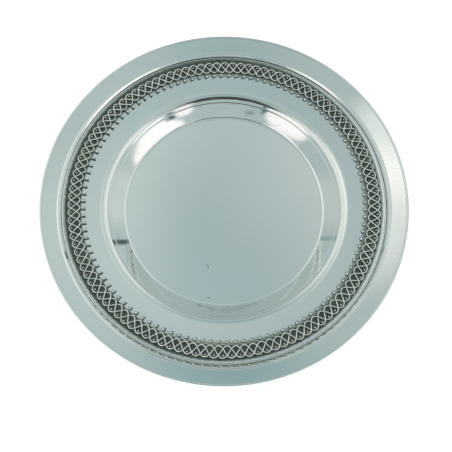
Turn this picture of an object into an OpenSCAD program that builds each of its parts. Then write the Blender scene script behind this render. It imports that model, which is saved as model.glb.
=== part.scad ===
// A small round ceremonial plate in silver: a spun dish with a deep well, a band
// of woven wire filigree, a narrow moulding and a plain sloping rim with a wire edge.
// The origin is on the underside of the well floor, on the plate's axis, with +Z up.

/* [Plate] */
// Diameter of the whole plate, over the edge wire
plate_d = 155; // [154:0.5:160]
// Thickness of the spun sheet
sheet_t = 0.8; // [0.6:0.1:1]
// Height of the edge wire's centre above the underside
rim_h = 13.5; // [13.2:0.1:14.2]

/* [Well] */
// Diameter of the flat well floor
floor_d = 86; // [82:1:88]
// Height of the shoulder above the underside
shoulder_h = 8.3; // [8:0.1:8.6]
// Diameter at the shoulder, where the well wall turns into the flange
shoulder_d = 102.4; // [101:0.2:104]
// Slope of the well wall just under the shoulder
wall_top_deg = 45; // [44:0.5:47]
// Radius of the rounded shoulder, on its upper side
shoulder_r = 4.5; // [3:0.1:5]

/* [Flange and seat] */
// Diameter of the flange's outer edge, where the filigree begins
band_in_d = 121.8; // [121.6:0.1:122]
// Height of the flange's outer edge
flange_h = 9.6; // [9.5:0.05:9.7]
// Diameter of the filigree's outer edge
band_out_d = 132.6; // [132.2:0.2:133.4]
// Thickness of the strip that backs the filigree
strip_t = 0.4; // [0.3:0.05:0.5]
// Direction of the seam where the strip's two ends meet
seam_deg = 71.5; // [0:0.5:360]
// Width of the gap at the seam
seam_gap = 0.2; // [0.1:0.05:0.4]

/* [Filigree] */
// Number of cells around the plate, a multiple of three
cells = 114; // [108:3:120]
// Diameter of the lattice wire
wire_d = 0.55; // [0.5:0.05:0.6]
// Diameter through the middle of the lattice
lattice_d = 127.2; // [127:0.2:127.4]
// Distance from the inner arches to the outer arches, wire centre to wire centre
wave_h = 4.8; // [4.6:0.1:4.9]
// How full the arches are, in degrees of shift along the wave
arch_fullness = 2; // [0:0.5:4]
// Direction of the first outer arch
first_arch_deg = -2.45; // [-3:0.05:3]
// Diameter of the inner beads
inner_bead_d = 1.15; // [0.9:0.05:1.2]
// Diameter through the inner beads' centres
inner_bead_ring_d = 119.4; // [119:0.2:119.8]
// Diameter of the outer beads
outer_bead_d = 0.85; // [0.7:0.05:0.9]
// Diameter through the outer beads' centres
outer_bead_ring_d = 130; // [129.8:0.2:130.2]

/* [Moulding and rim] */
// Diameter at the joint between the moulding and the rim
joint_d = 138; // [137.8:0.2:138.4]
// Height of the thin round line on the moulding
moulding_h = 10.3; // [10.2:0.05:10.4]
// Diameter of the thin round line's section
moulding_line_d = 0.6; // [0.5:0.05:0.7]
// Radius of the rounded ridge
ridge_r = 0.95; // [0.85:0.05:1]
// Height of the rounded ridge
ridge_h = 11.15; // [11:0.05:11.3]
// Diameter of the edge wire
edge_wire_d = 1.2; // [1:0.1:1.3]

/* [Hidden] */

$fn = 96;
arc_steps = 10;
strands = 3;
wire_sides = 6;
rings_per_wave = 10;
resting_gap = 0.02;
bead_stands = 0.36;

// A unit vector in the profile plane, at an angle above the outward direction
function along(deg) = [cos(deg), sin(deg)];
// The side of that direction that faces the underside
function under(deg) = [sin(deg), -cos(deg)];
// Points on a circle, from one angle to another
function arc(centre, r, from, to) = [
    for (i = [0 : arc_steps]) centre + r * along(from + (to - from) * i / arc_steps)
];

// Well and flange, on the upper side of the sheet
floor_r = floor_d / 2;
shoulder = [shoulder_d / 2, shoulder_h];
flange_end = [band_in_d / 2, flange_h];
flange_rise = flange_end - shoulder;
flange_deg = atan2(flange_rise[1], flange_rise[0]);
shoulder_cut = shoulder_r * tan((wall_top_deg - flange_deg) / 2);
wall_foot = [floor_r, sheet_t];
wall_top = shoulder - shoulder_cut * along(wall_top_deg);
wall_chord = wall_top - wall_foot;
wall_foot_deg = 2 * atan2(wall_chord[1], wall_chord[0]) - wall_top_deg;
wall_r = norm(wall_chord) / 2 / sin((wall_top_deg - wall_foot_deg) / 2);
wall_centre = wall_foot - wall_r * under(wall_foot_deg);
shoulder_centre = wall_top + shoulder_r * under(wall_top_deg);

// Seat of the filigree, and the moulding that closes it
seat_z = flange_h - strip_t;
joint_r = joint_d / 2;
band_out_r = band_out_d / 2;
line_r = moulding_line_d / 2;
line_centre = [joint_r - 2 * line_r, moulding_h - line_r];
groove_z = line_centre[1] - line_r / 2;

// Rim, on the upper side of the sheet
ridge_centre = [joint_r + ridge_r, ridge_h - ridge_r];
ridge_end_deg = 40;
rim_foot = ridge_centre + ridge_r * along(ridge_end_deg);
edge_centre = [(plate_d - edge_wire_d) / 2, rim_h];
rim_run = edge_centre - rim_foot;
rim_deg = atan2(rim_run[1], rim_run[0]) + asin(sheet_t / 2 / norm(rim_run));
rim_top = edge_centre - sheet_t / 2 * under(rim_deg);
rim_under_z = (rim_top + sheet_t * under(rim_deg))[1]
    - (edge_centre[0] + sheet_t / 2 * sin(rim_deg) - joint_r) * tan(rim_deg);

// Woven wires
pitch_deg = 360 / cells;
waves = cells / strands;
weave_h = wire_d / sqrt(3);
lattice_z = flange_h + weave_h + wire_d / 2 + resting_gap;
wave_rings = waves * rings_per_wave;

// The centre line of a wire, by its phase along the waves
function wire_point(phase, start_deg) =
    let (
        turn = start_deg + (phase + arch_fullness * sin(2 * phase)) / waves,
        r = lattice_d / 2 + wave_h / 2 * cos(phase)
    )
    [r * cos(turn), r * sin(turn), lattice_z + weave_h * sin(2 * phase)];

function unit(v) = v / norm(v);

// One ring of points around the centre line
function wire_ring(phase, start_deg) =
    let (
        middle = wire_point(phase, start_deg),
        forward = unit(wire_point(phase + 1, start_deg) - wire_point(phase - 1, start_deg)),
        side = unit(cross(forward, [0, 0, 1])),
        up = cross(side, forward)
    )
    [
        for (i = [0 : wire_sides - 1])
            middle + wire_d / 2 * (cos(360 * i / wire_sides) * side + sin(360 * i / wire_sides) * up)
    ];

// One closed wire that weaves over and under the other two
module lattice_wire(start_deg) {
    rings = [
        for (i = [0 : wave_rings - 1])
            each wire_ring(360 * i / rings_per_wave, start_deg)
    ];
    total = wave_rings * wire_sides;
    faces = [
        for (i = [0 : wave_rings - 1], j = [0 : wire_sides - 1])
            let (here = i * wire_sides, turned = (j + 1) % wire_sides)
            [
                here + j,
                here + turned,
                (here + wire_sides + turned) % total,
                (here + wire_sides + j) % total
            ]
    ];
    polyhedron(points = rings, faces = faces, convexity = 10);
}

// A row of round solder grains, each with a flat under it that lies on a sloping surface
module bead_row(bead_d, ring_d, start_deg, base_z, slope_deg) {
    for (i = [0 : cells - 1])
        rotate(start_deg + i * pitch_deg)
            translate([ring_d / 2, 0, base_z])
                rotate([0, -slope_deg, 0])
                    difference() {
                        translate([0, 0, bead_stands * bead_d])
                            sphere(d = bead_d, $fn = 24);
                        translate([-bead_d, -bead_d, -bead_d])
                            cube([2 * bead_d, 2 * bead_d, bead_d]);
                    }
}

module well_dish() {
    joggle = strip_t;
    upper = concat(
        [[0, sheet_t]],
        arc(wall_centre, wall_r, wall_foot_deg - 90, wall_top_deg - 90),
        arc(shoulder_centre, shoulder_r, wall_top_deg + 90, flange_deg + 90),
        [flange_end, [flange_end[0], seat_z], [joint_r, seat_z]]
    );
    flange_under = flange_end + sheet_t * under(flange_deg);
    lower = concat(
        [[joint_r, seat_z - sheet_t], [flange_under[0] + joggle, seat_z - sheet_t], flange_under],
        arc(shoulder_centre, shoulder_r - sheet_t, flange_deg + 90, wall_top_deg + 90),
        arc(wall_centre, wall_r + sheet_t, wall_top_deg - 90, wall_foot_deg - 90),
        [[floor_r, 0], [0, 0]]
    );
    color("#b4c2c2")
        rotate_extrude()
            polygon(concat(upper, lower));
}

module gallery_strip() {
    color("#3f4642")
        difference() {
            translate([0, 0, seat_z])
                cylinder(h = strip_t, r = band_out_r);
            translate([0, 0, seat_z - strip_t])
                cylinder(h = 3 * strip_t, r = band_in_d / 2);
            rotate(seam_deg)
                translate([0, -seam_gap / 2, seat_z - strip_t])
                    cube([plate_d, seam_gap, 3 * strip_t]);
        }
}

module lattice_wire_1() {
    color("#cfd6d2") lattice_wire(first_arch_deg);
}

module lattice_wire_2() {
    color("#c3cbc7") lattice_wire(first_arch_deg + pitch_deg);
}

module lattice_wire_3() {
    color("#d8dedb") lattice_wire(first_arch_deg + 2 * pitch_deg);
}

module inner_bead_row() {
    base_z = flange_h - (band_in_d - inner_bead_ring_d) / 2 * tan(flange_deg);
    color("#e2e6e4")
        bead_row(inner_bead_d, inner_bead_ring_d, first_arch_deg + pitch_deg / 2, base_z, flange_deg);
}

module outer_bead_row() {
    color("#d9dedc") bead_row(outer_bead_d, outer_bead_ring_d, first_arch_deg, flange_h, 0);
}

module collar_ring() {
    line_side = line_centre - [line_r, 0];
    cove = line_side - [band_out_r, flange_h];
    color("#bcc8c8")
        rotate_extrude()
            polygon(concat(
                [[band_out_r, seat_z]],
                [
                    for (i = [0 : arc_steps - 1])
                        let (turn = 90 * i / arc_steps)
                        [band_out_r + cove[0] * sin(turn), flange_h + cove[1] * (1 - cos(turn))]
                ],
                arc(line_centre, line_r, 180, -30),
                [[joint_r, groove_z], [joint_r, seat_z]]
            ));
}

module outer_rim() {
    color("#b9c6c6")
        rotate_extrude()
            difference() {
                polygon(concat(
                    arc(ridge_centre, ridge_r, 180, ridge_end_deg),
                    [rim_top, rim_top + sheet_t * under(rim_deg), [joint_r, rim_under_z]]
                ));
                translate(edge_centre)
                    circle(d = edge_wire_d, $fn = 48);
            }
}

module edge_wire() {
    color("#c6d0cf")
        rotate_extrude()
            translate(edge_centre)
                circle(d = edge_wire_d, $fn = 48);
}

well_dish();
gallery_strip();
lattice_wire_1();
lattice_wire_2();
lattice_wire_3();
inner_bead_row();
outer_bead_row();
collar_ring();
outer_rim();
edge_wire();
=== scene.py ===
import math
import random

import bmesh
import bpy
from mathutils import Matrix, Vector


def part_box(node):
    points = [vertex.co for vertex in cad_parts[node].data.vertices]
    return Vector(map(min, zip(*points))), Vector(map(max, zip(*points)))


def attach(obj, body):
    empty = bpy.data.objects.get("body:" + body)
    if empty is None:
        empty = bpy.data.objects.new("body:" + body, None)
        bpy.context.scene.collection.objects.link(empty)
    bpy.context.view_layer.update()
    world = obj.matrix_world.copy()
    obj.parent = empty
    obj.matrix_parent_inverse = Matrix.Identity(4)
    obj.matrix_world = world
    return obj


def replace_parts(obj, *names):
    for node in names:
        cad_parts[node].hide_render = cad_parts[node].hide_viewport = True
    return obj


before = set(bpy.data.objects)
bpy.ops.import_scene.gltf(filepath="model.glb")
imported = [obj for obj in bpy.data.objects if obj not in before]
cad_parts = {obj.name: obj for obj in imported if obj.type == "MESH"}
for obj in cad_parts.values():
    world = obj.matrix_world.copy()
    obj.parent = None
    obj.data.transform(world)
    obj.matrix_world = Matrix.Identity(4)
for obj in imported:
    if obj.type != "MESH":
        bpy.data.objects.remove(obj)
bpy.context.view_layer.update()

# Lengths are in millimetres up to the point where a mesh is made, and in metres in Blender.
MM = 0.001
SEGMENTS = 360


# ---------------------------------------------------------------- sizes, from the frame

def node_size(node):
    """(lowest height, highest height, outer radius) of a CAD node, in millimetres."""
    low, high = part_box(node)
    return low.z / MM, high.z / MM, high.x / MM


# The dish's seat reaches out to the joint between the moulding and the rim.
FLANGE_TOP, JOINT_R = node_size("well_dish")[1:]
SEAT_Z, STRIP_TOP, STRIP_R = node_size("gallery_strip")
MOULDING_TOP = node_size("collar_ring")[1]
EDGE_LOW, EDGE_TOP, PLATE_R = node_size("edge_wire")
EDGE_WIRE_R = (EDGE_TOP - EDGE_LOW) / 2
EDGE_CENTRE = (PLATE_R - EDGE_WIRE_R, (EDGE_TOP + EDGE_LOW) / 2)

# The dish: its floor, wall, shoulder and flange. The wall bends into the flange in two arcs,
# EASE_ROUND down to the slope EASE_DEG and then SHOULDER_ROUND.
SHEET_T = 0.8
FLOOR_R = 43.0
SHOULDER = (51.2, 8.3)
SHOULDER_ROUND = 5.0
EASE_ROUND = 12.0
EASE_DEG = 34.0
FOOT_ROUND = 1.9
WALL_LINE_R = 48.6
SHOULDER_LINE_DEG = 32.0
LINE_W = 0.42
LINE_DEPTH = 0.045
FLOOR_WAVE = 0.010
WALL_BULGE = 0.032
BAND_IN_R = 60.9
EDGE_ROUND = 0.08

# The moulding and the rim. Distances outward are from the joint between the two.
LINE_R = 0.3
RIDGE_R = 0.45
RIDGE_OUT = 1.1
RIDGE_TOP = 11.15
RIDGE_END_DEG = 51.0
RIDGE_SIDE_DEG = 45.0
RIDGE_FOOT = (1.68, 10.81)
VALLEY_ROUND = 0.35

# The filigree: backing strip, wires and grains.
STRIP_CHAMFER = 0.05
SEAM_DEG = 71.5
SEAM_GAP = 0.2
CELLS = 114
PITCH_DEG = 360 / CELLS
STRANDS = 3
WIRE_D = 0.55
WIRE_CLEARANCE = 0.02
LATTICE_R = 63.6
WAVE_H = 4.8
ARCH_FULLNESS = 2.0
FIRST_ARCH_DEG = -2.45
INNER_BEAD_D = 1.15
INNER_BEAD_R = 59.7
INNER_BEAD_SINK = 0.16
OUTER_BEAD_D = 0.85
OUTER_BEAD_R = 65.0
BEAD_STANDS = 0.36
PITCH_MM = 2 * math.pi * INNER_BEAD_R / CELLS


# ---------------------------------------------------------------- profile tools

def along(deg):
    """The unit vector at this angle in the profile plane."""
    return Vector((math.cos(math.radians(deg)), math.sin(math.radians(deg))))


def under(deg):
    """The unit vector square to along(deg), on its lower side."""
    return Vector((math.sin(math.radians(deg)), -math.cos(math.radians(deg))))


def arc(centre, radius, start, end, step=4.0):
    """Points on a circle in the profile plane, between two angles."""
    count = max(2, math.ceil(abs(end - start) / step))
    return [Vector(centre) + radius * along(start + (end - start) * i / count) for i in range(count + 1)]


def rounded(before, corner, after, radius, step=6.0):
    """The arc that rounds one corner of a profile."""
    before, corner, after = Vector(before), Vector(corner), Vector(after)
    a, b = (before - corner).normalized(), (after - corner).normalized()
    half = a.angle(b) / 2
    centre = corner + (a + b).normalized() * radius / math.sin(half)
    reach = radius / math.tan(half)
    start, end = corner + a * reach - centre, corner + b * reach - centre
    count = max(2, math.ceil(math.degrees(math.pi - 2 * half) / step))
    first = math.atan2(start.y, start.x)
    turn = math.atan2(end.y, end.x) - first
    turn = (turn + math.pi) % (2 * math.pi) - math.pi
    return [
        centre + radius * Vector((math.cos(first + turn * i / count), math.sin(first + turn * i / count)))
        for i in range(count + 1)
    ]


def with_supports(points, margin=0.04, shortest=0.4):
    """Adds a point close to both ends of each long stretch, so that flat faces shade flat."""
    out = []
    for i, here in enumerate(points):
        ahead = points[(i + 1) % len(points)]
        out.append(here)
        step = ahead - here
        if step.length > shortest:
            out.append(here + step.normalized() * margin)
            out.append(ahead - step.normalized() * margin)
    return out


def new_object(name, bm, material, smooth=True):
    """Makes a piece from a mesh, and hands it to the frame with its slot."""
    mesh = bpy.data.meshes.new(name)
    bm.to_mesh(mesh)
    bm.free()
    for face in mesh.polygons:
        face.use_smooth = smooth
    mesh.materials.append(material)
    obj = bpy.data.objects.new(name, mesh)
    bpy.context.scene.collection.objects.link(obj)
    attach(obj, "root")
    return obj


def lathe(name, profile, material, lift=None):
    """A closed ring, or a closed disc where the profile starts and ends on the axis.

    lift(radius, turn) raises each point a little, in millimetres, where the real sheet isn't quite
    true. It fades out towards the table, so that the foot stays flat.
    """
    points = with_supports([Vector(p) for p in profile])
    on_axis = points[0].x < 1e-6
    bm = bmesh.new()
    rings = []
    for p in points:
        share = min(1.0, p.y / SHEET_T)
        if p.x < 1e-6:
            rings.append([bm.verts.new((0, 0, p.y * MM))])
            continue
        ring = []
        for i in range(SEGMENTS):
            turn = 2 * math.pi * i / SEGMENTS
            z = p.y + (share * lift(p.x, turn) if lift else 0)
            ring.append(bm.verts.new((p.x * MM * math.cos(turn), p.x * MM * math.sin(turn), z * MM)))
        rings.append(ring)
    pairs = list(zip(rings, rings[1:]))
    if not on_axis:
        pairs.append((rings[-1], rings[0]))
    for a, b in pairs:
        for i in range(SEGMENTS):
            j = (i + 1) % SEGMENTS
            if len(a) == 1 and len(b) == 1:
                break
            if len(a) == 1:
                bm.faces.new((a[0], b[i], b[j]))
            elif len(b) == 1:
                bm.faces.new((a[i], a[j], b[0]))
            else:
                bm.faces.new((a[i], a[j], b[j], b[i]))
    bmesh.ops.recalc_face_normals(bm, faces=bm.faces)
    return new_object(name, bm, material)


# ---------------------------------------------------------------- node tools for materials

class Nodes:
    """A material's node tree, with short calls for the nodes used here."""

    def __init__(self, name):
        self.material = bpy.data.materials.new(name)
        self.material.use_nodes = True
        self.tree = self.material.node_tree
        self.tree.nodes.clear()
        self.shader = self.add("ShaderNodeBsdfPrincipled")
        output = self.add("ShaderNodeOutputMaterial")
        self.join(self.shader.outputs["BSDF"], output.inputs["Surface"])
        place = self.add("ShaderNodeTexCoord").outputs["Object"]
        self.place = self.vector("SCALE", place, scale=1 / MM)

    def add(self, kind, **settings):
        node = self.tree.nodes.new(kind)
        for key, value in settings.items():
            setattr(node, key, value)
        return node

    def join(self, source, target):
        self.tree.links.new(source, target)

    def put(self, socket, value):
        if hasattr(value, "is_output"):
            self.join(value, socket)
        else:
            socket.default_value = value

    def vector(self, operation, a, b=None, scale=None):
        node = self.add("ShaderNodeVectorMath", operation=operation)
        self.put(node.inputs[0], a)
        if b is not None:
            self.put(node.inputs[1], b)
        if scale is not None:
            self.put(node.inputs["Scale"], scale)
        return node.outputs["Value" if operation in ("LENGTH", "DOT_PRODUCT") else "Vector"]

    def math(self, operation, a, b=0.0, c=0.0):
        node = self.add("ShaderNodeMath", operation=operation)
        for socket, value in zip(node.inputs, (a, b, c)):
            self.put(socket, value)
        return node.outputs[0]

    def ramp(self, value, low, high, to_low=0.0, to_high=1.0):
        """to_low where value is low or less, to_high where it is high or more, eased in between."""
        node = self.add("ShaderNodeMapRange", interpolation_type="SMOOTHSTEP")
        for socket, part in zip(node.inputs, (value, low, high, to_low, to_high)):
            self.put(socket, part)
        return node.outputs[0]

    def noise(self, where, scale, detail=2.0, roughness=0.5, distortion=0.0):
        node = self.add("ShaderNodeTexNoise")
        self.put(node.inputs["Vector"], where)
        node.inputs["Scale"].default_value = scale
        node.inputs["Detail"].default_value = detail
        node.inputs["Roughness"].default_value = roughness
        node.inputs["Distortion"].default_value = distortion
        return node.outputs["Fac"]

    def mix(self, share, a, b):
        node = self.add("ShaderNodeMix", data_type="RGBA")
        self.put(node.inputs[0], share)
        self.put(node.inputs[6], a)
        self.put(node.inputs[7], b)
        return node.outputs[2]

    def bump(self, height, strength, distance):
        node = self.add("ShaderNodeBump")
        self.put(node.inputs["Height"], height)
        node.inputs["Strength"].default_value = strength
        node.inputs["Distance"].default_value = distance * MM
        return node.outputs["Normal"]

    def axes(self, source):
        """The X, Y and Z outputs of a vector."""
        split = self.add("ShaderNodeSeparateXYZ")
        self.join(source, split.inputs[0])
        return split.outputs

    def polar(self):
        """Distance from the axis in millimetres, and the turn in degrees from -180 to 180."""
        flat = self.vector("MULTIPLY", self.place, (1, 1, 0))
        radius = self.vector("LENGTH", flat)
        place = self.axes(self.place)
        turn = self.math("ARCTAN2", place["Y"], place["X"])
        return radius, self.math("MULTIPLY", turn, 180 / math.pi)

    def towards(self, degrees, middle):
        """1 at the turn called middle, falling as a cosine to -1 at the opposite turn."""
        turn = self.math("MULTIPLY", self.math("SUBTRACT", degrees, middle), math.pi / 180)
        return self.math("COSINE", turn)

    def band(self, value, low, high, soft):
        """1 between low and high, fading to 0 over soft on both sides."""
        up = self.ramp(value, low - soft, low)
        down = self.ramp(value, high, high + soft, 1.0, 0.0)
        return self.math("MULTIPLY", up, down)


# ---------------------------------------------------------------- materials

SILVER = (0.93, 0.945, 0.935, 1)


def bead_stains_and_shade(n, radius, degrees):
    """A dark ring around the foot of each inner bead, painted contact shade and reflection, and the flux
    stain on one side of it.
    """
    turn = n.math("SUBTRACT", degrees, FIRST_ARCH_DEG + PITCH_DEG / 2)
    spot = n.math("FRACT", n.math("MULTIPLY_ADD", turn, 1 / PITCH_DEG, CELLS + 0.5))
    across = n.math("MULTIPLY_ADD", spot, PITCH_MM, -PITCH_MM / 2)
    outward = n.math("SUBTRACT", radius, INNER_BEAD_R)
    away = n.math("SQRT", n.math("MULTIPLY_ADD", across, across, n.math("MULTIPLY", outward, outward)))
    # painted shade: the ring's width and the stain's darkness change around the plate with the light
    left_side = n.towards(degrees, 165)
    ring = n.ramp(away, 0.60, n.ramp(left_side, -0.3, 0.9, 1.05, 0.86), 1.0, 0.0)
    outward_part = n.band(outward, -0.8, 1.3, 0.5)
    tooth = n.math("MULTIPLY", n.band(across, 0.55, 0.95, 0.3), outward_part)
    tooth = n.math("MULTIPLY", tooth, n.ramp(left_side, -1.0, 1.0, 0.35, 1.0))
    return n.math("MAXIMUM", ring, tooth)


def tarnish_and_shade(n, radius, degrees, cloud):
    """How dark the silver is made, from 0 to 1: patina and painted shade beside the filigree, and darker
    in the joints and along lines.
    """
    # patina and painted shade along the flange's edge, and painted shade in a darker zone inside it on the
    # right
    edge = n.math("MULTIPLY_ADD", cloud, 1.6, radius)
    inner = n.ramp(edge, BAND_IN_R - 0.9, BAND_IN_R + 0.6, 0.0, 0.95)
    to_the_right = n.ramp(n.towards(degrees, 180), -0.2, 0.9, 0.68, 0.0)
    flange_right_shade = n.math("MULTIPLY", to_the_right, n.ramp(edge, BAND_IN_R - 1.9, BAND_IN_R - 0.9))
    under_strip = n.ramp(radius, BAND_IN_R + 1.1, BAND_IN_R + 1.2, 1.0, 0.0)
    inner = n.math("MULTIPLY", n.math("MAXIMUM", inner, flange_right_shade), under_strip)
    # patina in the moulding's cove, with painted shade that makes it wider at the back and narrower on the
    # right
    far_side = n.math("POWER", n.math("MAXIMUM", n.towards(degrees, 90), 0.0), 4.0)
    reach = n.math("MULTIPLY_ADD", n.towards(degrees, -20), -0.45, STRIP_R + 0.45)
    reach = n.math("MULTIPLY_ADD", far_side, 0.55, reach)
    reach = n.math("MULTIPLY_ADD", cloud, 0.9, reach)
    past = n.math("SUBTRACT", radius, reach)
    in_cove = n.ramp(radius, STRIP_R - 0.5, STRIP_R - 0.4)
    outer = n.math("MULTIPLY", n.ramp(past, 0.0, 1.25, 1.0, 0.0), in_cove)
    # in the joint and in the turned line on the wall
    crease = n.math("MULTIPLY", n.band(radius, JOINT_R - 0.10, JOINT_R + 0.10, 0.12), 0.55)
    crease = n.math("MULTIPLY", crease, n.ramp(far_side, 0.0, 0.5, 0.35, 1.0))
    line = n.math("MULTIPLY", n.band(radius, WALL_LINE_R - 0.08, WALL_LINE_R + 0.08, 0.12), 0.18)
    total = bead_stains_and_shade(n, radius, degrees)
    for part in (inner, outer, crease, line):
        total = n.math("MAXIMUM", total, part)
    return total


def hairlines(n, turn_deg, size, seed):
    """Sparse fine scratches that run one way: 1 on a scratch, 0 elsewhere."""
    turned = n.add("ShaderNodeMapping")
    n.join(n.place, turned.inputs["Vector"])
    turned.inputs["Location"].default_value = (seed, seed / 2, 0)
    turned.inputs["Rotation"].default_value = (0, 0, math.radians(turn_deg))
    turned.inputs["Scale"].default_value = (1 / size, 6.0, 0.2)
    fine = n.noise(turned.outputs[0], 1.0, 1.0, 0.4, 0.3)
    return n.ramp(fine, 0.69, 0.75)


def nick(n, x, y, turn_deg, length):
    """One short dark scratch: 1 on it, 0 elsewhere."""
    local = n.add("ShaderNodeMapping", vector_type="TEXTURE")
    n.join(n.place, local.inputs["Vector"])
    local.inputs["Location"].default_value = (x, y, SHEET_T)
    local.inputs["Rotation"].default_value = (0, 0, math.radians(turn_deg))
    local.inputs["Scale"].default_value = (length / 2, 0.22, 1.0)
    return n.ramp(n.vector("LENGTH", local.outputs[0]), 0.5, 1.0, 1.0, 0.0)


def polished_silver():
    """Spun and polished sheet: near-mirror, with hairlines, faint turning marks, haze, patina and painted
    shade.
    """
    n = Nodes("polished_silver")
    radius, degrees = n.polar()
    cloud = n.noise(n.place, 0.9, 3.0, 0.6)
    cloud = n.math("SUBTRACT", cloud, 0.5)
    facing = n.axes(n.add("ShaderNodeTexCoord").outputs["Normal"])
    upper_side = n.ramp(facing["Z"], -0.3, 0.0)
    dark = n.math("MULTIPLY", tarnish_and_shade(n, radius, degrees, cloud), upper_side)
    haze = n.ramp(n.noise(n.place, 0.045, 4.0, 0.6, 0.5), 0.42, 0.68)
    scratches = n.math("MAXIMUM", hairlines(n, 72, 7.0, 3.0), hairlines(n, -24, 9.0, 11.0))
    scratches = n.math("MAXIMUM", scratches, hairlines(n, 24, 5.0, 29.0))
    turning = n.add("ShaderNodeCombineXYZ")
    n.join(n.math("MULTIPLY", radius, 2.6), turning.inputs[0])
    n.join(n.math("MULTIPLY", degrees, 0.02), turning.inputs[1])
    marks = n.ramp(n.noise(turning.outputs[0], 1.0, 3.0, 0.7), 0.3, 0.7)

    clean = n.mix(haze, SILVER, (0.915, 0.925, 0.90, 1))
    clean = n.mix(n.math("MULTIPLY", scratches, 0.22), clean, (0.55, 0.58, 0.56, 1))
    clean = n.mix(n.math("MULTIPLY", marks, 0.05), clean, (0.80, 0.83, 0.80, 1))
    # painted shade that grows to the right, and two short scratches on the floor
    to_right = n.math("MULTIPLY", n.towards(degrees, 0), n.ramp(radius, 10, 50))
    right_shade = n.ramp(to_right, -1.0, 0.6, 0.0, 0.45)
    clean = n.mix(right_shade, clean, (0.74, 0.76, 0.755, 1))
    nicks = n.math("MAXIMUM", nick(n, -7.1, -26.0, -58, 2.8), nick(n, -6.8, -39.6, -25, 1.9))
    clean = n.mix(n.math("MULTIPLY", nicks, 0.8), clean, (0.10, 0.11, 0.10, 1))
    tone = n.noise(n.place, 1.7, 2.0, 0.6)
    # the dark colour for patina, stains and painted shade
    stain_and_shade = n.mix(n.ramp(tone, 0.35, 0.7), (0.085, 0.112, 0.094, 1), (0.155, 0.175, 0.14, 1))
    n.put(n.shader.inputs["Base Color"], n.mix(dark, clean, stain_and_shade))

    rough = n.math("MULTIPLY_ADD", dark, 0.26, 0.035)
    rough = n.math("MULTIPLY_ADD", haze, 0.035, rough)
    rough = n.math("MULTIPLY_ADD", scratches, 0.16, rough)
    rough = n.math("MULTIPLY_ADD", marks, 0.03, rough)
    n.put(n.shader.inputs["Roughness"], rough)
    n.shader.inputs["Metallic"].default_value = 1.0
    grit = n.math("MULTIPLY", n.noise(n.place, 4.0, 2.0, 0.6), dark)
    relief = n.math("MULTIPLY_ADD", scratches, -0.12, grit)
    n.join(n.bump(relief, 0.5, 0.03), n.shader.inputs["Normal"])
    return n.material


def oxidised_silver():
    """The backing strip: black with sulphide, with browner and cleaner patches."""
    n = Nodes("oxidised_silver")
    cloud = n.noise(n.place, 0.8, 3.0, 0.6)
    patches = n.ramp(n.noise(n.place, 0.11, 2.0, 0.5), 0.45, 0.65)
    grain = n.noise(n.place, 3.5, 3.0, 0.7)
    black = n.mix(cloud, (0.045, 0.058, 0.05, 1), (0.15, 0.17, 0.155, 1))
    brown = n.mix(cloud, (0.085, 0.085, 0.06, 1), (0.26, 0.26, 0.19, 1))
    n.put(n.shader.inputs["Base Color"], n.mix(n.math("MULTIPLY", patches, 0.6), black, brown))
    n.put(n.shader.inputs["Roughness"], n.ramp(cloud, 0.3, 0.7, 0.28, 0.5))
    n.shader.inputs["Metallic"].default_value = 1.0
    n.join(n.bump(grain, 0.5, 0.05), n.shader.inputs["Normal"])
    return n.material


def silver_wire():
    """Drawn wire: bright where hands have rubbed it, with a warm cast, patches of grime, and painted shade
    low down.
    """
    n = Nodes("silver_wire")
    height = n.axes(n.place)["Z"]
    cloud = n.noise(n.place, 0.5, 2.0, 0.6)
    grime = n.ramp(n.noise(n.place, 1.6, 3.0, 0.65), 0.52, 0.72)
    # painted shade: the wire is darker low down, next to the strip
    low = n.ramp(height, STRIP_TOP + 0.05, STRIP_TOP + 0.60)
    tone = n.mix(n.ramp(cloud, 0.35, 0.7), (0.98, 0.98, 0.95, 1), (0.88, 0.865, 0.78, 1))
    tone = n.mix(n.math("MULTIPLY", grime, 0.45), tone, (0.42, 0.42, 0.36, 1))
    n.put(n.shader.inputs["Base Color"], n.mix(low, (0.20, 0.21, 0.185, 1), tone))
    n.put(n.shader.inputs["Roughness"], n.ramp(grime, 0.0, 1.0, 0.24, 0.42))
    n.shader.inputs["Metallic"].default_value = 1.0
    n.join(n.bump(n.noise(n.place, 5.0, 2.0, 0.6), 0.35, 0.03), n.shader.inputs["Normal"])
    return n.material


def silver_bead():
    """Melted grains: bright tops, and dark feet that are painted shade and reflection."""
    n = Nodes("silver_bead")
    height = n.axes(n.place)["Z"]
    cloud = n.noise(n.place, 1.2, 2.0, 0.6)
    # painted shade and reflection: the grain is darker low down, near the strip
    low = n.ramp(n.math("MULTIPLY_ADD", cloud, 0.25, height), STRIP_TOP + 0.15, STRIP_TOP + 0.72)
    n.put(n.shader.inputs["Base Color"], n.mix(low, (0.10, 0.115, 0.095, 1), (0.985, 0.99, 0.97, 1)))
    n.put(n.shader.inputs["Roughness"], n.ramp(cloud, 0.3, 0.7, 0.22, 0.34))
    n.shader.inputs["Metallic"].default_value = 1.0
    n.join(n.bump(cloud, 0.3, 0.04), n.shader.inputs["Normal"])
    return n.material


# ---------------------------------------------------------------- the pieces

def turned_line(middle, deg):
    """A fine rounded groove across a profile that runs at deg there."""
    steps = 8
    points = []
    for i in range(steps + 1):
        share = 2 * i / steps - 1
        sink = LINE_DEPTH * (1 + math.cos(math.pi * share)) / 2
        points.append(middle + share * LINE_W / 2 * along(deg) + sink * under(deg))
    return points


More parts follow.
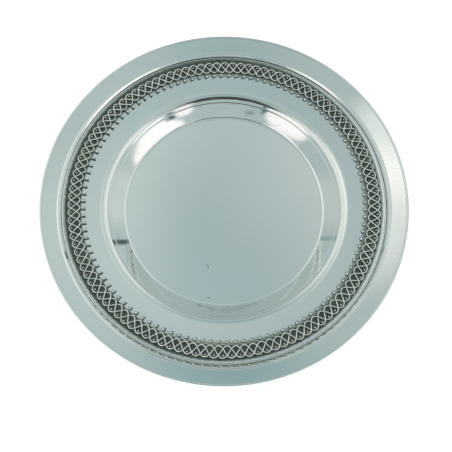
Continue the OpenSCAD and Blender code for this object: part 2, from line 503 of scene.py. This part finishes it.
def sheet_wave(radius, turn):
    """How far the spun sheet is from true: slow waves, and a slight bulge in the wall towards the back."""
    settle = min(1.0, radius / 20) ** 2
    slow = settle * math.sin(radius / 9 + 1.3 * math.sin(turn + 0.6)) * math.sin(2 * turn + 0.4)
    bulge_start, bulge_w = FLOOR_R + 0.8, 5.0
    up_wall = min(1, max(0, (radius - bulge_start) / bulge_w))
    towards_back = (1 + math.sin(turn)) / 2
    bulge = WALL_BULGE + 0.004 * math.sin(9 * turn + 2.0) + 0.003 * math.sin(23 * turn)
    return FLOOR_WAVE * slow + bulge * towards_back * max(0.0, math.sin(math.pi * up_wall))


def build_dish(material):
    """The spun dish, from its floor out to the joint, with its underside."""
    foot = Vector((FLOOR_R, SHEET_T))
    shoulder = Vector(SHOULDER)
    flange_end = Vector((BAND_IN_R, FLANGE_TOP))
    rise = flange_end - shoulder
    flange_deg = math.degrees(math.atan2(rise.y, rise.x))
    wall = shoulder - foot
    wall_deg = math.degrees(math.atan2(wall.y, wall.x))
    # the bend starts where its two arcs, end to end, lead from the wall's line to the flange's
    eased = EASE_ROUND * (under(wall_deg) - under(EASE_DEG))
    bend = eased + SHOULDER_ROUND * (under(EASE_DEG) - under(flange_deg))
    cut = bend.cross(along(flange_deg)) / along(wall_deg).cross(along(flange_deg))
    wall_top = shoulder - cut * along(wall_deg)
    ease_centre = wall_top + EASE_ROUND * under(wall_deg)
    shoulder_centre = wall_top + eased + SHOULDER_ROUND * under(EASE_DEG)

    line = foot + along(wall_deg) * (WALL_LINE_R - FLOOR_R) / math.cos(math.radians(wall_deg))
    on_shoulder = shoulder_centre - SHOULDER_ROUND * under(SHOULDER_LINE_DEG)
    half = math.degrees(LINE_W / 2 / SHOULDER_ROUND)

    floor_step, wall_step = 2, 0.3
    upper = [Vector((r, SHEET_T)) for r in range(0, int(FLOOR_R) - 1, floor_step)]
    upper += rounded((0, SHEET_T), foot, shoulder, FOOT_ROUND, 4.0)
    start, end = upper[-1], line - LINE_W / 2 * along(wall_deg)
    steps = round((end - start).length / wall_step)
    upper += [start.lerp(end, i / steps) for i in range(1, steps)]
    upper += turned_line(line, wall_deg)
    upper += arc(ease_centre, EASE_ROUND, wall_deg + 90, EASE_DEG + 90, 1.5)[:-1]
    upper += turned_line(on_shoulder, SHOULDER_LINE_DEG)
    upper += arc(shoulder_centre, SHOULDER_ROUND, SHOULDER_LINE_DEG + 90 - half, flange_deg + 90, 2.5)[1:]
    upper += rounded(shoulder, flange_end, (BAND_IN_R, SEAT_Z), EDGE_ROUND, 15.0)
    upper += [Vector((BAND_IN_R, SEAT_Z)), Vector((JOINT_R, SEAT_Z))]

    flange_under = flange_end + SHEET_T * under(flange_deg)
    step_end = Vector((flange_under.x + 0.4, SEAT_Z - SHEET_T))
    lower = rounded((JOINT_R, SEAT_Z), (JOINT_R, SEAT_Z - SHEET_T), step_end, EDGE_ROUND, 15.0)
    lower += [step_end, flange_under]
    lower += arc(shoulder_centre, SHOULDER_ROUND - SHEET_T, flange_deg + 90, EASE_DEG + 90)
    lower += arc(ease_centre, EASE_ROUND - SHEET_T, EASE_DEG + 90, wall_deg + 90)[1:]
    under_foot = Vector((FLOOR_R + SHEET_T * math.tan(math.radians(wall_deg) / 2), 0))
    lower += rounded(lower[-1], under_foot, (0, 0), FOOT_ROUND + SHEET_T, 4.0)
    lower += [Vector((0, 0))]
    return lathe("dish_sheet", upper + lower, material, sheet_wave)


def build_strip(material):
    """The backing strip, open at its seam."""
    half_gap = math.degrees(SEAM_GAP / 2 / LATTICE_R)
    bm = bmesh.new()
    section = [
        (BAND_IN_R, SEAT_Z),
        (STRIP_R, SEAT_Z),
        (STRIP_R, STRIP_TOP - STRIP_CHAMFER),
        (STRIP_R - STRIP_CHAMFER, STRIP_TOP),
        (BAND_IN_R + STRIP_CHAMFER, STRIP_TOP),
        (BAND_IN_R, STRIP_TOP - STRIP_CHAMFER),
    ]
    loops = []
    for i in range(SEGMENTS + 1):
        turn = math.radians(SEAM_DEG + half_gap + (360 - 2 * half_gap) * i / SEGMENTS)
        loops.append([
            bm.verts.new((r * MM * math.cos(turn), r * MM * math.sin(turn), z * MM)) for r, z in section
        ])
    count = len(section)
    for a, b in zip(loops, loops[1:]):
        for i in range(count):
            bm.faces.new((a[i], b[i], b[(i + 1) % count], a[(i + 1) % count]))
    bm.faces.new(loops[0])
    bm.faces.new(loops[-1])
    bmesh.ops.recalc_face_normals(bm, faces=bm.faces)
    return new_object("backing_strip", bm, material, smooth=False)


def build_collar(material):
    """The moulding: a cove that rises from the strip to a thin round line beside the joint."""
    line_centre = Vector((JOINT_R - 2 * LINE_R, MOULDING_TOP - LINE_R))
    groove_z = line_centre.y - LINE_R / 2
    side = line_centre - Vector((LINE_R, 0))
    run = side - Vector((STRIP_R, STRIP_TOP))
    steps = 16
    cove = []
    for i in range(steps):
        turn = math.radians(90 * i / steps)
        cove.append(Vector((STRIP_R + run.x * math.sin(turn), STRIP_TOP + run.y * (1 - math.cos(turn)))))
    profile = [Vector((STRIP_R, SEAT_Z))] + cove
    profile += arc(line_centre, LINE_R, 180, -30, 12)
    profile += [Vector((JOINT_R, groove_z)), Vector((JOINT_R, SEAT_Z))]
    return lathe("moulding_ring", profile, material)


def build_rim(material):
    """The rim: a small ridge beside the joint, and a plain slope up to the edge wire."""
    ridge_centre = Vector((JOINT_R + RIDGE_OUT, RIDGE_TOP - RIDGE_R))
    foot = Vector((JOINT_R + RIDGE_FOOT[0], RIDGE_FOOT[1]))
    centre = Vector(EDGE_CENTRE)
    run = centre - foot
    rim_deg = math.degrees(math.atan2(run.y, run.x) + math.asin(SHEET_T / 2 / run.length))
    top = centre - SHEET_T / 2 * under(rim_deg)
    below = centre + SHEET_T / 2 * under(rim_deg)
    under_z = below.y - (below.x - JOINT_R) * math.tan(math.radians(rim_deg))
    back = math.sqrt(EDGE_WIRE_R ** 2 - (SHEET_T / 2) ** 2)
    hug = math.degrees(math.asin(SHEET_T / 2 / EDGE_WIRE_R))
    side_top = ridge_centre - RIDGE_R * under(RIDGE_SIDE_DEG)
    side_z = side_top.y - (side_top.x - JOINT_R) * math.tan(math.radians(RIDGE_SIDE_DEG))
    profile = [Vector((JOINT_R, side_z))]
    profile += arc(ridge_centre, RIDGE_R, RIDGE_SIDE_DEG + 90, RIDGE_END_DEG)
    profile += rounded(profile[-1], foot, top, VALLEY_ROUND)
    profile += [top - back * along(rim_deg)]
    profile += arc(centre, EDGE_WIRE_R, rim_deg + 180 - hug, rim_deg + 180 + hug, 12)[1:-1]
    profile += [below - back * along(rim_deg), Vector((JOINT_R, under_z))]
    return lathe("rim_sheet", profile, material)


def build_edge(material):
    """The round wire along the rim's edge."""
    profile = arc(EDGE_CENTRE, EDGE_WIRE_R, 0, 345, 15)
    return lathe("rim_edge", profile, material)


def wire_point(phase, start_deg, jitter):
    """A point on a lattice wire's centre line, by its phase along the waves, both in degrees."""
    waves = CELLS / STRANDS
    weave = WIRE_D / math.sqrt(3)
    a = math.radians(phase)
    turn = math.radians(start_deg + (phase + ARCH_FULLNESS * math.sin(2 * a)) / waves)
    r = LATTICE_R + WAVE_H / 2 * math.cos(a) + jitter(phase)
    z = STRIP_TOP + weave + WIRE_D / 2 + WIRE_CLEARANCE + weave * math.sin(2 * a)
    return Vector((r * math.cos(turn), r * math.sin(turn), z))


def hand_bent(seed, amount):
    """A small smooth wander along a wire, the same in each run."""
    rng = random.Random(seed)
    waves = CELLS // STRANDS
    knots = [rng.uniform(-amount, amount) for _ in range(2 * waves)]

    def at(phase):
        spot = (phase / 180) % (2 * waves)
        i = int(spot)
        share = (1 - math.cos(math.pi * (spot - i))) / 2
        return knots[i] * (1 - share) + knots[(i + 1) % (2 * waves)] * share
    return at


def build_wire(number, material):
    """One of the lattice wires, a tube along its own wave."""
    start = FIRST_ARCH_DEG + (number - 1) * PITCH_DEG
    jitter = hand_bent(number, 0.06)
    per_wave, sides = 28, 12
    total = CELLS // STRANDS * per_wave
    corners = [along(360 * k / sides) for k in range(sides)]
    bm = bmesh.new()
    rings = []
    for i in range(total):
        phase = 360 * i / per_wave
        middle = wire_point(phase, start, jitter)
        before, after = (wire_point(phase + step, start, jitter) for step in (-1, 1))
        forward = (after - before).normalized()
        side = forward.cross(Vector((0, 0, 1))).normalized()
        up = side.cross(forward)
        rings.append([
            bm.verts.new((middle + WIRE_D / 2 * (corner.x * side + corner.y * up)) * MM)
            for corner in corners
        ])
    for i, ring in enumerate(rings):
        ahead = rings[(i + 1) % total]
        for k in range(sides):
            bm.faces.new((ring[k], ahead[k], ahead[(k + 1) % sides], ring[(k + 1) % sides]))
    bmesh.ops.recalc_face_normals(bm, faces=bm.faces)
    return new_object(f"filigree_wire_{number}", bm, material)


def build_beads(name, diameter, ring_r, base_z, start_deg, material, seed):
    """A ring of grains, one per cell, each cut flat underneath and a little out of place."""
    rng = random.Random(seed)
    bm = bmesh.new()
    for i in range(CELLS):
        turn = math.radians(start_deg + i * PITCH_DEG + rng.uniform(-0.12, 0.12))
        size = diameter * rng.uniform(0.93, 1.0)
        r = ring_r + rng.uniform(-0.05, 0.05)
        made = bmesh.ops.create_icosphere(bm, subdivisions=3, radius=size / 2 * MM)
        low = -BEAD_STANDS * size * MM
        for vert in made["verts"]:
            vert.co.z = max(vert.co.z, low)
            vert.co += Vector((r * math.cos(turn), r * math.sin(turn), base_z + BEAD_STANDS * size)) * MM
    return new_object(name, bm, material)


# ---------------------------------------------------------------- camera, light and floor

VIEW_ELEVATION = 70.49
VIEW_DISTANCE = 3.994 * PLATE_R
AIM = (0.70, -12.06)
LENS = 58.73
SENSOR_W = 36.0
FLOOR_HALF_W = 3000
FLOOR_GAP = 0.2


def add_camera():
    """A camera above the front of the plate, aimed at a point in the plane of the rim."""
    data = bpy.data.cameras.new("camera")
    data.sensor_width = SENSOR_W
    data.lens = LENS
    data.clip_start = 0.01
    camera = bpy.data.objects.new("camera", data)
    bpy.context.scene.collection.objects.link(camera)
    rim_plane = EDGE_CENTRE[1]
    back, up = VIEW_DISTANCE * along(VIEW_ELEVATION)
    place = Vector((0, -back, rim_plane + up)) * MM
    aim = Vector((*AIM, rim_plane)) * MM
    camera.location = place
    camera.rotation_euler = (aim - place).to_track_quat("-Z", "Y").to_euler()
    bpy.context.scene.camera = camera


def direction(azimuth, elevation):
    """The unit vector at an azimuth from +X and an elevation, in degrees."""
    a, e = math.radians(azimuth), math.radians(elevation)
    return Vector((math.cos(e) * math.cos(a), math.cos(e) * math.sin(a), math.sin(e)))


# The light tent's own colour, and the soft panels on it. Each panel has its azimuth from +X and
# its elevation, its half-width along and across, how far its long side is turned up from level,
# all in degrees, the share of it at full strength, and the light that it adds or takes away.
TENT = (0.45, 0.55, 0.55)
PANELS = [
    # the two long side panels, which rise towards the front
    (20, 34, 62, 14, -17, 0.7, (0.40, 0.32, 0.30)),
    (160, 36, 62, 17, 17, 0.7, (0.40, 0.33, 0.30)),
    # brighter and warmer patches of them
    (155, 56, 34, 12, 0, 0.4, (0.34, 0.30, 0.26)),
    (45, 46, 40, 20, 0, 0.1, (0.05, 0.05, 0.04)),
    (12, 15, 22, 6, -15, 0.5, (0.13, 0.11, 0.08)),
    (164, 14, 20, 5, 15, 0.5, (0.10, 0.08, 0.06)),
    # the lamps towards the front, and slanting dark bars across them
    (328, 24.6, 27, 3.9, -13, 0.8, (0.66, 0.54, 0.52)),
    (300, 33.6, 9, 3.8, -6, 0.7, (0.66, 0.54, 0.52)),
    (221, 29.3, 17, 3.9, 9, 0.75, (0.66, 0.54, 0.52)),
    (310, 30.2, 6, 0.9, -10, 0.3, (-0.52, -0.49, -0.47)),
    (237, 32.4, 6, 1.1, -20, 0.3, (-0.60, -0.56, -0.54)),
    (250, 30.5, 5, 0.9, 0, 0.3, (-0.22, -0.24, -0.24)),
    # the dark front edge of the tent, and the duller roof above it
    (268, 40.7, 38, 7.2, 0, 0.75, (-0.38, -0.49, -0.505)),
    (270, 56, 50, 20, 0, 0.3, (-0.12, -0.11, -0.10)),
    # the duller back of the tent
    (90, 26, 30, 14, 0, 0.2, (-0.17, -0.14, -0.12)),
    (90, 0, 75, 12, 0, 0.4, (-0.12, -0.11, -0.09)),
    # two narrow uprights at the back corners
    (38, 8, 1.7, 9, 0, 0.5, (-0.42, -0.46, -0.46)),
    (143, 9, 1.4, 9, 0, 0.5, (-0.16, -0.16, -0.16)),
    # the roof: a little duller in the middle, with a gleam on each side
    (90, 74, 9, 17, 0, 0.2, (-0.045, -0.040, -0.025)),
    (136, 61, 28, 18, 0, 0.1, (0.22, 0.21, 0.17)),
    (56, 64, 22, 15, 0, 0.1, (0.16, 0.14, 0.12)),
]
# No direction is darker than this, however many panels cross there.
DARKEST = (0.06, 0.06, 0.06)


def add_world():
    """The tent: its own colour plus each panel, as a colour by direction."""
    world = bpy.data.worlds.new("tent")
    bpy.context.scene.world = world
    world.use_nodes = True
    tree = world.node_tree

    def vector(operation, *values):
        node = tree.nodes.new("ShaderNodeVectorMath")
        node.operation = operation
        for socket, value in zip(node.inputs, values):
            if hasattr(value, "is_output"):
                tree.links.new(value, socket)
            else:
                socket.default_value = value
        return node.outputs["Value" if operation in ("DOT_PRODUCT", "LENGTH") else "Vector"]

    look = tree.nodes.new("ShaderNodeTexCoord").outputs["Generated"]
    total = TENT
    for azimuth, elevation, along_side, across_side, roll, full, light in PANELS:
        middle = direction(azimuth, elevation)
        east = direction(azimuth + 90, 0)
        north = middle.cross(east)
        cos, sin = along(roll)
        sides = ((cos * east + sin * north, along_side), (cos * north - sin * east, across_side))
        place = tree.nodes.new("ShaderNodeCombineXYZ")
        for i, (axis, half_width) in enumerate(sides):
            scaled = axis / math.sin(math.radians(half_width))
            tree.links.new(vector("DOT_PRODUCT", look, scaled), place.inputs[i])
        behind = tree.nodes.new("ShaderNodeMath")
        behind.operation = "LESS_THAN"
        tree.links.new(vector("DOT_PRODUCT", look, middle), behind.inputs[0])
        behind.inputs[1].default_value = 0.0
        tree.links.new(behind.outputs[0], place.inputs[2])
        fade = tree.nodes.new("ShaderNodeMapRange")
        fade.interpolation_type = "SMOOTHSTEP"
        tree.links.new(vector("LENGTH", place.outputs[0]), fade.inputs["Value"])
        for socket, value in zip(list(fade.inputs)[1:5], (full, 1.0, 1.0, 0.0)):
            socket.default_value = value
        total = vector("MULTIPLY_ADD", light, fade.outputs["Result"], total)
    total = vector("MAXIMUM", total, DARKEST)
    tree.links.new(total, tree.nodes["Background"].inputs["Color"])


def add_floor_light():
    """A broad lamp that lights the floor and leaves no glint on the metal."""
    data = bpy.data.lights.new("floor_light", "SUN")
    data.energy = 3.5
    data.angle = math.radians(120)
    lamp = bpy.data.objects.new("floor_light", data)
    bpy.context.scene.collection.objects.link(lamp)
    lamp.visible_glossy = False


def add_floor():
    """A pale table, far wider than the picture."""
    half = FLOOR_HALF_W * MM
    corners = ((-half, -half, 0), (half, -half, 0), (half, half, 0), (-half, half, 0))
    bm = bmesh.new()
    bm.faces.new([bm.verts.new(corner) for corner in corners])
    mesh = bpy.data.meshes.new("floor")
    bm.to_mesh(mesh)
    bm.free()
    n = Nodes("floor")
    n.put(n.shader.inputs["Base Color"], (0.9, 0.9, 0.9, 1))
    n.shader.inputs["Roughness"].default_value = 0.8
    mesh.materials.append(n.material)
    floor = bpy.data.objects.new("floor", mesh)
    bpy.context.scene.collection.objects.link(floor)
    floor.location.z = -FLOOR_GAP * MM


# ---------------------------------------------------------------- putting it together

add_camera()
silver = polished_silver()
dark = oxidised_silver()
wire = silver_wire()
bead = silver_bead()

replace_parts(build_dish(silver), "well_dish")
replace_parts(build_strip(dark), "gallery_strip")
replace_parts(build_collar(silver), "collar_ring")
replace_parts(build_rim(silver), "outer_rim")
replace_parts(build_edge(silver), "edge_wire")
for number in range(1, STRANDS + 1):
    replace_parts(build_wire(number, wire), f"lattice_wire_{number}")
inner_base, inner_start = STRIP_TOP - INNER_BEAD_SINK, FIRST_ARCH_DEG + PITCH_DEG / 2
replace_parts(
    build_beads("inner_grains", INNER_BEAD_D, INNER_BEAD_R, inner_base, inner_start, bead, 11),
    "inner_bead_row")
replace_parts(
    build_beads("outer_grains", OUTER_BEAD_D, OUTER_BEAD_R, STRIP_TOP, FIRST_ARCH_DEG, bead, 12),
    "outer_bead_row")

add_world()
add_floor_light()
add_floor()
bpy.context.scene.view_settings.view_transform = "Standard"
